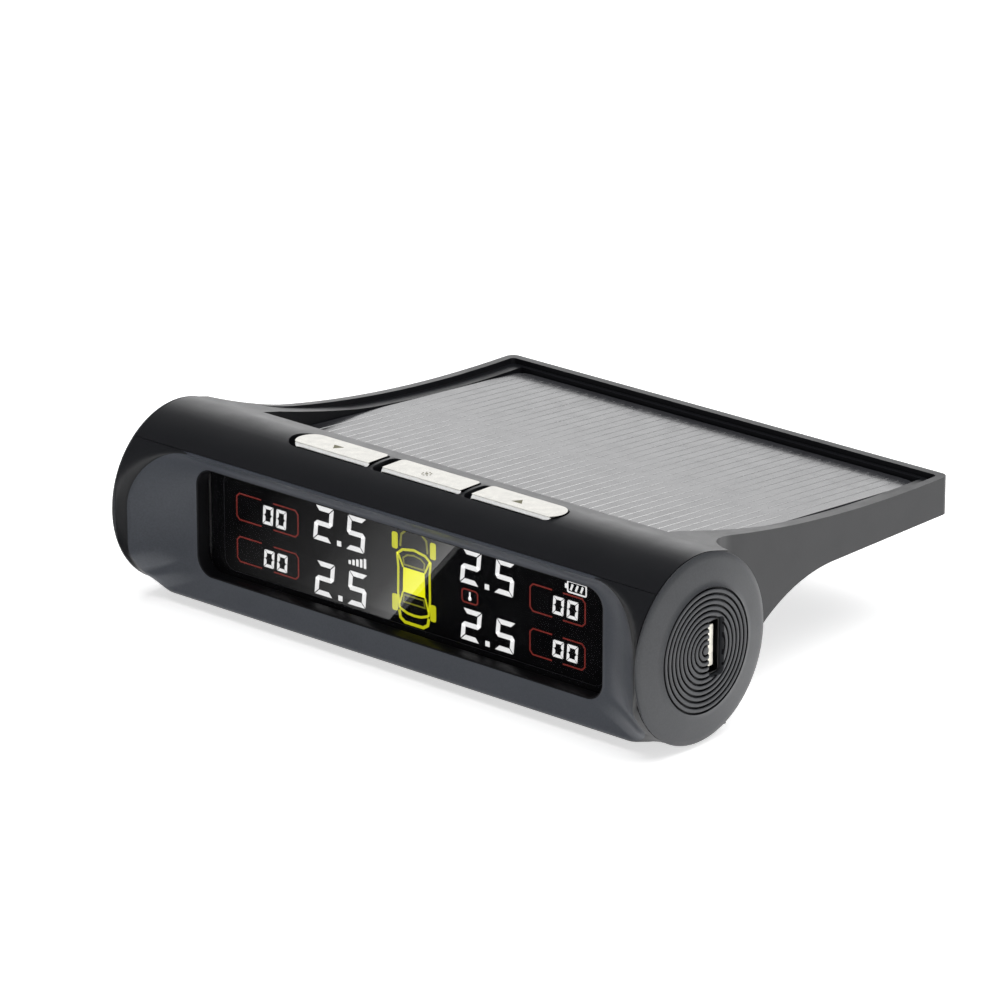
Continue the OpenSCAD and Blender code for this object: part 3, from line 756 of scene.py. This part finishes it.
def front_bezel():
    """Bezel lofted from its rings, with the four screw bosses behind its ends."""
    rings = bezel_rings()
    bm = bmesh.new()
    loops = [[bm.verts.new((x, FRONT_Y + depth, z)) for (x, z), depth in ring] for ring, _ in rings]
    count = len(loops[0])
    for i, loop in enumerate(loops):
        after = loops[(i + 1) % len(loops)]
        for k in range(count):
            m = (k + 1) % count
            face = bm.faces.new((loop[k], after[k], after[m], loop[m]))
            face.material_index = rings[i][1]
            middle = face.calc_center_median()
            if rings[i][1] == 2 and abs(middle.x) < FLARE_START and middle.z > WINDOW[0][1]:
                face.material_index = 0
    for x in (-41.3 * MM, 41.3 * MM):
        for z in (5.8 * MM, 17.8 * MM):
            tube_y(bm, x, bezel_low.z + z, lens_high.y - 0.1 * MM, bezel_high.y, 2 * MM, 1.02 * MM)
    tuck_in(bm, cap_centre, BARREL_R, TUCK_START, bezel_high.x)
    bmesh.ops.recalc_face_normals(bm, faces=bm.faces)
    shade_by_angle(bm, 32)
    piece = obj_from_bmesh("front_bezel_shell", bm, BEZEL, "root")
    piece.data.materials.append(WINDOW_SHADE)
    piece.data.materials.append(HOUSING)
    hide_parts("front_bezel")


front_bezel()

# ---------------------------------------------------------------- keys

# How much shorter each key's visible part is than the CAD key, in millimetres: left and right end.
KEY_TRIM = {"left": (0.9, 0.1), "middle": (1.3, 0.0), "right": (0.9, 0.0)}
KEY_SHANK = 2.2 * MM  # height of the visible part
ICON_SIZE = 0.85 * MM
DOT_COUNT = 8
DOT_RING = 0.62 * MM


def trim_key(key):
    """Shortens the part of a key that shows, so that the gaps beside it open."""
    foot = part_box("button_" + key)[1].z - KEY_SHANK
    before, after = (v * MM for v in KEY_TRIM[key])
    top = [v.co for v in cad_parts["button_" + key].data.vertices if v.co.z > foot]
    x0, x1 = min(p.x for p in top), max(p.x for p in top)

    def shape(bm):
        for vert in bm.verts:
            if vert.co.z > foot:
                along = (vert.co.x - x0) / (x1 - x0)
                vert.co.x += before * (1 - along) - after * along
        bm.normal_update()
        # The front chamfers take the near-white second material: a painted highlight on the chrome.
        for face in bm.faces:
            if face.normal.y < -0.4 and face.normal.z > 0.3:
                face.material_index = 1

    return shape


for key in KEY_TRIM:
    cap = moulded_copy(
        "button_" + key, CHROME, "key_cap_" + key, "key_" + key,
        width=0.06 * MM, shape=trim_key(key),
    )
    cap.data.materials.append(KEY_EDGE_HIGHLIGHT)


def add_plate(bm, shape, low, high):
    """Adds a closed plate: shape is a list of (x, y) points, extruded along Z."""
    bottom = [bm.verts.new((x, y, low)) for x, y in shape]
    top = [bm.verts.new((x, y, high)) for x, y in shape]
    bm.faces.new(list(reversed(bottom)))
    bm.faces.new(top)
    for i in range(len(shape)):
        j = (i + 1) % len(shape)
        bm.faces.new((bottom[i], bottom[j], top[j], top[i]))


def triangle(x, y, half, point_up):
    """Corners of a triangle that points to the rear or to the front."""
    tip = half if point_up else -half
    return [(x - half, y - tip * 0.6), (x + half, y - tip * 0.6), (x, y + tip * 0.8)]


def key_icon(key):
    """A small plain mark on the key's top: lower, set or raise."""
    low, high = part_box("button_" + key)
    x, y = (low.x + high.x) / 2, (low.y + high.y) / 2
    plate = (high.z - 0.02 * MM, high.z + 0.012 * MM)
    bm = bmesh.new()
    if key == "middle":
        for i in range(DOT_COUNT):
            a = 2 * math.pi * i / DOT_COUNT
            cx, cy = x + DOT_RING * math.cos(a), y + DOT_RING * math.sin(a)
            add_plate(bm, arc(cx, cy, 0.13 * MM, 0, 360, 10)[:-1], *plate)
        add_plate(bm, arc(x, y, 0.24 * MM, 0, 360, 16)[:-1], *plate)
    else:
        shape = triangle(x, y, ICON_SIZE, key == "right")
        add_plate(bm, shape if key == "right" else list(reversed(shape)), *plate)
    bmesh.ops.recalc_face_normals(bm, faces=bm.faces)
    obj_from_bmesh("key_icon_" + key, bm, ICON, "key_" + key)


for key in KEY_TRIM:
    key_icon(key)

# ---------------------------------------------------------------- display

lens = moulded_copy("display_lens", LENS, width=0.1 * MM, segments=2)
glass_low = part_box("lcd_glass")[0]
PRINT = (glass_low.y - 0.06 * MM, glass_low.y - 0.01 * MM)  # depth of everything shown on the glass


def add_border(bm, outer, inner, depth_from, depth_to):
    """Adds a flat frame between two outlines."""
    a, b = outline(outer), outline(inner)
    loops = []
    for points, depth in ((a, depth_from), (a, depth_to), (b, depth_to), (b, depth_from)):
        loops.append([bm.verts.new((x, depth, z)) for x, z in points])
    for i in range(4):
        here, after = loops[i], loops[(i + 1) % 4]
        for k in range(len(a)):
            m = (k + 1) % len(a)
            bm.faces.new((here[k], here[m], after[m], after[k]))


VIEW_AREA = (WINDOW[0], 33.5 * MM, WINDOW[2] - 0.35 * MM, 1.9 * MM, 1.9 * MM)
VIEW_EDGE = grown(VIEW_AREA, 0.08 * MM)
MASK_OUTER = (WINDOW[0], WINDOW[1] + 0.4 * MM, WINDOW[2] + 0.4 * MM, 1.0 * MM, 1.0 * MM)
for name, outer, inner, look in (
    ("display_mask", MASK_OUTER, VIEW_EDGE, MASK_BLACK),
    ("display_mask_edge", VIEW_EDGE, VIEW_AREA, LENS_EDGE),
):
    border = bmesh.new()
    add_border(border, outer, inner, *PRINT)
    bmesh.ops.recalc_face_normals(border, faces=border.faces)
    obj_from_bmesh(name, border, look, "root")

# Lit segments: a is the top bar, b to f follow clockwise, g is the middle bar.
DIGITS = {"0": "abcdef", "2": "abged", "5": "afgcd"}


def segment_shape(segment, w, h, s, gap):
    """Mitred outline of one segment in a digit w wide and h high, with strokes s wide."""
    mid = h / 2
    outer_bar = [(gap, h), (w - gap, h), (w - gap - s, h - s), (gap + s, h - s)]
    foot = mid + gap / 2
    upper_side = [(0, foot), (s / 2, foot), (s, mid + s / 2 + gap / 2), (s, h - s - gap), (0, h - gap)]
    shapes = {
        "a": outer_bar, "d": [(x, h - z) for x, z in outer_bar],
        "f": upper_side, "b": [(w - x, z) for x, z in upper_side],
        "e": [(x, h - z) for x, z in upper_side], "c": [(w - x, h - z) for x, z in upper_side],
        "g": [
            (gap, mid), (gap + s / 2, mid + s / 2), (w - gap - s / 2, mid + s / 2),
            (w - gap, mid), (w - gap - s / 2, mid - s / 2), (gap + s / 2, mid - s / 2),
        ],
    }
    return shapes[segment]


def add_digit(bm, text, x, z, width, height, stroke, slant):
    """Adds one seven-segment digit whose lower left corner is at x, z."""
    for segment in DIGITS[text]:
        shape = segment_shape(segment, width, height, stroke, 0.18 * stroke)
        add_prism(bm, [(x + px + slant * pz, z + pz) for px, pz in shape], *PRINT)


def add_dot(bm, x, z, size):
    """Adds a square point whose lower left corner is at x, z."""
    add_prism(bm, [(x, z), (x + size, z), (x + size, z + size), (x, z + size)], *PRINT)


def add_brackets(bm, x0, x1, z0, z1, line):
    """Adds a broken frame: a square bracket at each end with a gap in the middle."""
    corner = 0.5 * MM
    for end, stop, c in ((x0, 0.40, corner), (x1, 0.60, -corner)):
        gap = x0 + (x1 - x0) * stop
        points = [(gap, z1), (end + c, z1), (end, z1 - corner), (end, z0 + corner), (end + c, z0), (gap, z0)]
        add_stroke(bm, points, line, *PRINT)


digits = bmesh.new()
# Left edge, foot and height of each reading, in millimetres.
PRESSURES = ((-17.25, 13.85, 4.85), (-17.1, 6.2, 4.75), (8.75, 14.2, 4.7), (8.85, 6.4, 4.35))
for left, low, tall in PRESSURES:
    for text, offset in (("2", 0), ("5", 5.85)):
        add_digit(digits, text, (left + offset) * MM, low * MM, 3.25 * MM, tall * MM, 0.66 * MM, 0.10)
    add_dot(digits, (left + 4.3) * MM, low * MM, 0.72 * MM)
TEMPERATURES = ((-26.45, 13.75, 2.6), (-26.35, 7.7, 2.45), (24.6, 13.8, 2.45), (24.6, 7.95, 2.3))
for left, low, tall in TEMPERATURES:
    for offset in (0, 2.4):
        add_digit(digits, "0", (left + offset) * MM, low * MM, 1.8 * MM, tall * MM, 0.42 * MM, 0.07)

# A mark of rising bars, a thermometer, and the battery with three bars of charge.
for i in range(5):
    x, z, tall = (-10.7 + 0.68 * i) * MM, (12.1 + 0.1 * i) * MM, (0.55 + 0.2 * i) * MM
    add_prism(digits, rounded_outline(x, z, 0.4 * MM, tall, 0.06 * MM, 2), *PRINT)
THERMOMETER_X = 10.45 * MM
add_stroke(digits, [(THERMOMETER_X, 12.35 * MM), (THERMOMETER_X, 13.1 * MM)], 0.24 * MM, *PRINT)
add_prism(digits, arc(THERMOMETER_X, 12.2 * MM, 0.27 * MM, 0, 360, 14)[:-1], *PRINT)
battery = rounded_outline(28.7 * MM, 18.1 * MM, 3.1 * MM, 1.45 * MM, 0.2 * MM, 3)
add_stroke(digits, battery, 0.2 * MM, *PRINT, closed=True)
add_stroke(digits, [(26.85 * MM, 17.8 * MM), (26.85 * MM, 18.4 * MM)], 0.3 * MM, *PRINT)
for x in (27.65, 28.5, 29.35):
    add_stroke(digits, [(x * MM, 17.68 * MM), ((x + 0.35) * MM, 18.52 * MM)], 0.3 * MM, *PRINT)
obj_from_bmesh("display_digits", digits, WHITE_LIT, "root")

frames = bmesh.new()
for z0, z1 in ((13.25, 16.95), (7.3, 10.85)):
    for x0, x1 in ((-31.2, -20.0), (20.8, 30.1)):
        add_brackets(frames, x0 * MM, x1 * MM, z0 * MM, z1 * MM, 0.19 * MM)
thermometer_box = rounded_outline(THERMOMETER_X, 12.5 * MM, 2.7 * MM, 1.8 * MM, 0.45 * MM, 4)
add_stroke(frames, thermometer_box, 0.2 * MM, *PRINT, closed=True)
obj_from_bmesh("display_brackets", frames, RED_LIT, "root")

# The car seen from above, in millimetres from the middle of its rear.
CAR_X, CAR_Z = 0.7, 6.05
car = bmesh.new()


def car_points(points):
    return [((CAR_X + x) * MM, (CAR_Z + z) * MM) for x, z in points]


def car_line(points, width=0.34, closed=False):
    add_stroke(car, car_points(points), width * MM, *PRINT, closed=closed)


for flip in (1, -1):
    car_line([(flip * 2.95, 9.5), (flip * 2.75, 7.6), (flip * 2.8, 4.0), (flip * 2.55, 1.9)])
    car_line([(flip * 2.7, 9.3), (flip * 1.9, 7.7)], 0.26)
    car_line([(flip * 1.95, 4.3), (flip * 2.5, 2.6)], 0.26)
    for z in (10.0, 1.4):
        wheel_x, wheel_z = (CAR_X + flip * 3.35) * MM, (CAR_Z + z + 1.1) * MM
        add_prism(car, rounded_outline(wheel_x, wheel_z, 1.0 * MM, 2.3 * MM, 0.3 * MM, 3), *PRINT)
car_line([(-2.9, 9.4), (-2.0, 10.1), (0, 10.45), (2.0, 10.1), (2.9, 9.4)])
car_line([(-2.5, 1.9), (-1.2, 1.45), (0, 1.35), (1.2, 1.45), (2.5, 1.9)])
car_line([(-2.6, 1.6), (-2.4, 0.6), (-1.6, 0.1), (1.6, 0.1), (2.4, 0.6), (2.6, 1.6)], 0.42)
obj_from_bmesh("display_car", car, YELLOW_LIT, "root")

car = bmesh.new()
add_prism(car, car_points([(-1.95, 4.3), (1.95, 4.3), (1.85, 7.7), (-1.85, 7.7)]), *PRINT)
obj_from_bmesh("display_car_roof", car, YELLOW_FULL, "root")

car = bmesh.new()
car_line([(-2.4, 10.5), (-2.2, 12.2), (-1.3, 12.95), (0, 13.1), (1.3, 12.95), (2.2, 12.2), (2.4, 10.5)], 0.3)
car_line([(-1.9, 9.0), (-1.2, 9.5), (0, 9.7), (1.2, 9.5), (1.9, 9.0), (1.75, 8.1), (-1.75, 8.1)], 0.22, True)
car_line([(-1.9, 2.9), (1.9, 2.9), (1.75, 3.9), (-1.75, 3.9)], 0.2, True)
obj_from_bmesh("display_car_glass", car, OLIVE_LIT, "root")

# ---------------------------------------------------------------- solar panel

moulded_copy("solar_panel", SOLAR, width=0.12 * MM, segments=2)
FINGER_PITCH = 1.66 * MM
FINGER_HALF = 0.09 * MM
PANEL_MARGIN = 1.6 * MM
ROW_GAP = 1.5 * MM

panel_points = [v.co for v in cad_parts["solar_panel"].data.vertices]
panel_front = max(panel_points, key=lambda p: p.z)
panel_rear = max(panel_points, key=lambda p: p.y)


def panel_height(y):
    """Height of the sloping panel's top face."""
    along = (y - panel_front.y) / (panel_rear.y - panel_front.y)
    return panel_front.z + (panel_rear.z - panel_front.z) * along


def solar_fingers():
    """Printed silver lines on the two rows of cells, from front to back."""
    bm = bmesh.new()
    middle = (panel_low.y + panel_high.y) / 2
    rows = (
        (panel_low.y + PANEL_MARGIN, middle - ROW_GAP / 2),
        (middle + ROW_GAP / 2, panel_high.y - PANEL_MARGIN),
    )
    count = int((panel_high.x - PANEL_MARGIN) / FINGER_PITCH)
    for i in range(-count, count + 1):
        x0, x1 = i * FINGER_PITCH - FINGER_HALF, i * FINGER_PITCH + FINGER_HALF
        for y0, y1 in rows:
            ends = ((x0, y0), (x1, y0), (x1, y1), (x0, y1))
            corners = [(px, py, panel_height(py)) for px, py in ends]
            low = [bm.verts.new((px, py, pz - 0.02 * MM)) for px, py, pz in corners]
            top = [bm.verts.new((px, py, pz + 0.012 * MM)) for px, py, pz in corners]
            bm.faces.new(list(reversed(low)))
            bm.faces.new(top)
            for k in range(4):
                m = (k + 1) % 4
                bm.faces.new((low[k], low[m], top[m], top[k]))
    obj_from_bmesh("solar_fingers", bm, FINGER, "root")


solar_fingers()

# ---------------------------------------------------------------- inside

FINISHES = {
    LCD_GLASS: ["lcd_glass"], LIGHT_GUIDE: ["lcd_backlight"], ZEBRA: ["lcd_connector"],
    WHITE_FRAME: ["display_frame"], BOARD: ["main_board", "button_board", "board_link"],
    PLUNGER: ["plunger_left", "plunger_middle", "plunger_right"],
    SHIELD: ["radio_shield", "crystal_can", "switch_left", "switch_middle", "switch_right"],
    TAPE: ["solar_tape"], WIRE_RED: ["solar_leads", "battery_leads"], POUCH: ["battery_cell"],
    FOAM: ["battery_foam"], PLUG: ["battery_plug"], COPPER: ["antenna_coil"],
    CHIP: ["controller_chip", "charge_chip"], BUZZER: ["buzzer"], BRASS: ["vibration_sensor"],
    STEEL: ["housing_screws", "board_screws"],
}
for look, names in FINISHES.items():
    for node in names:
        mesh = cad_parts[node].data
        mesh.materials.clear()
        mesh.materials.append(look)

# ---------------------------------------------------------------- stage, light and camera

bm = bmesh.new()
bmesh.ops.create_grid(bm, x_segments=2, y_segments=2, size=6)
floor = plain_object("floor", bm)
paper = Look("floor_paper", Roughness=0.9, Specular_IOR_Level=0.1)
paper.colour(paper.ramp(paper.noise(0.4, 2), (0.3, (0.86, 0.86, 0.86)), (0.7, (0.88, 0.88, 0.88))))
paper.set(Emission_Color=(1, 1, 1, 1), Emission_Strength=0.62)
floor.data.materials.append(paper.material)


def studio_world():
    """White to the camera; for light and reflections, bright at the horizon and dark overhead."""
    world = bpy.data.worlds.new("studio")
    bpy.context.scene.world = world
    world.use_nodes = True
    tree = world.node_tree
    sky = tree.nodes["Background"]
    place = tree.nodes.new("ShaderNodeTexCoord")
    split = tree.nodes.new("ShaderNodeSeparateXYZ")
    ramp = tree.nodes.new("ShaderNodeValToRGB")
    path = tree.nodes.new("ShaderNodeLightPath")
    pick = tree.nodes.new("ShaderNodeMix")
    pick.data_type = "RGBA"
    tree.links.new(place.outputs["Generated"], split.inputs["Vector"])
    tree.links.new(split.outputs["Z"], ramp.inputs["Fac"])
    stops = ((0.0, 0.30), (0.25, 0.16), (0.6, 0.07), (1.0, 0.05))
    for i, (position, value) in enumerate(stops):
        stop = ramp.color_ramp.elements[i] if i < 2 else ramp.color_ramp.elements.new(position)
        stop.position = position
        stop.color = (value, value, value * 1.02, 1)
    tree.links.new(path.outputs["Is Camera Ray"], pick.inputs[0])
    tree.links.new(ramp.outputs["Color"], pick.inputs[6])
    pick.inputs[7].default_value = (1, 1, 1, 1)
    tree.links.new(pick.outputs[2], sky.inputs["Color"])
    sky.inputs["Strength"].default_value = 1.0


def softbox(name, place, size, power, glossy=True):
    """A rectangular lamp that points at the middle of the object."""
    light = bpy.data.lights.new(name, "AREA")
    light.shape = "RECTANGLE"
    light.size, light.size_y = size
    light.energy = power
    lamp = bpy.data.objects.new(name, light)
    bpy.context.scene.collection.objects.link(lamp)
    lamp.location = place
    lamp.rotation_euler = (centre - Vector(place)).to_track_quat("-Z", "Y").to_euler()
    lamp.visible_glossy = glossy
    return lamp


CARD_HEIGHT = 0.3 * MM  # just clear of the floor


def reflection_card(name, x0, x1, y0, y1, material):
    """A card on the table, seen only in reflections."""
    bm = bmesh.new()
    corners = ((x0, y0), (x1, y0), (x1, y1), (x0, y1))
    bm.faces.new([bm.verts.new((x, y, CARD_HEIGHT)) for x, y in corners])
    card = plain_object(name, bm)
    card.data.materials.append(material)
    card.visible_camera = False
    card.visible_diffuse = False
    card.visible_shadow = False
    card.visible_transmission = False
    return card


def light_only(lamp, pieces):
    """Lets a lamp or card light only the given pieces."""
    group = bpy.data.collections.new(lamp.name + "_receivers")
    for piece in pieces:
        group.objects.link(piece)
    lamp.light_linking.receiver_collection = group


studio_world()
centre = (cad_box[0] + cad_box[1]) / 2
softbox("overhead", (0.15, 0.1, 0.9), (1.2, 1.2), 11, glossy=False)
softbox("backdrop", (-0.9, 1.0, 0.38), (1.7, 0.7), 5.0)
softbox("side", (1.1, 0.1, 0.35), (0.8, 0.6), 2.0, glossy=False)
softbox("front", (0.1, -1.0, 0.12), (0.8, 0.2), 1.6, glossy=False)

# A card on the table in front: black, with a lit band that ends on a slanting edge.
card_look = Look("reflection_card", Roughness=1.0, Specular_IOR_Level=0.0, Base_Color=(0, 0, 0, 1))
across = card_look.node("ShaderNodeVectorMath", operation="DOT_PRODUCT")
card_look.link(card_look.place, across.inputs[0])
across.inputs[1].default_value = (1, -0.4643, 0)
share = card_look.node("ShaderNodeMapRange")
card_look.link(across.outputs["Value"], share.inputs["Value"])
share.inputs["From Min"].default_value = -0.030
share.inputs["From Max"].default_value = 0.010
lit_band = card_look.ramp(
    share.outputs["Result"], (0.0, (0, 0, 0)), (0.42, (0.10, 0.10, 0.10)),
    (0.75, (0.42, 0.42, 0.42)), (0.879, (1, 1, 1)), (0.881, (0, 0, 0)),
)
card_look.link(lit_band, card_look.shader.inputs["Emission Color"])
card_look.set(Emission_Strength=3.0)
flag = Look("flag_black", Roughness=1.0, Specular_IOR_Level=0.0, Base_Color=(0.004, 0.004, 0.004, 1))
reflection_card("flag_left", -0.20, -0.0490, -0.0375, 0.10, flag.material)
card = reflection_card("reflection_card", -0.16, 0.08, -0.0745, -0.0375, card_look.material)
light_only(card, [lens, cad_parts["lcd_glass"]])
key_lamp = softbox("key_edges", (-0.2, -0.9, 0.16), (0.5, 0.15), 6.0, glossy=False)
light_only(key_lamp, [bpy.data.objects["key_cap_" + key] for key in KEY_TRIM])

# A long lens at the photo's angle.
AZIMUTH = math.radians(41.57)
ELEVATION = math.radians(19.65)
LENS_MM = 217.8
DISTANCE = 0.8062
level = math.cos(ELEVATION)
back = Vector((math.sin(AZIMUTH) * level, -math.cos(AZIMUTH) * level, math.sin(ELEVATION)))
right = Vector((math.cos(AZIMUTH), math.sin(AZIMUTH), 0))
up = back.cross(right)
aim = Vector((0, -0.5 * MM, 13.4 * MM)) - right * 6.29 * MM + up * 2.48 * MM
camera_data = bpy.data.cameras.new("camera")
camera_data.lens = LENS_MM
camera_data.sensor_width = 36
camera_data.clip_start = 0.01
camera_data.clip_end = 50
camera = bpy.data.objects.new("camera", camera_data)
bpy.context.scene.collection.objects.link(camera)
camera.location = aim + back * DISTANCE
camera.rotation_euler = (-back).to_track_quat("-Z", "Y").to_euler()
bpy.context.scene.camera = camera
bpy.context.scene.view_settings.view_transform = "Standard"
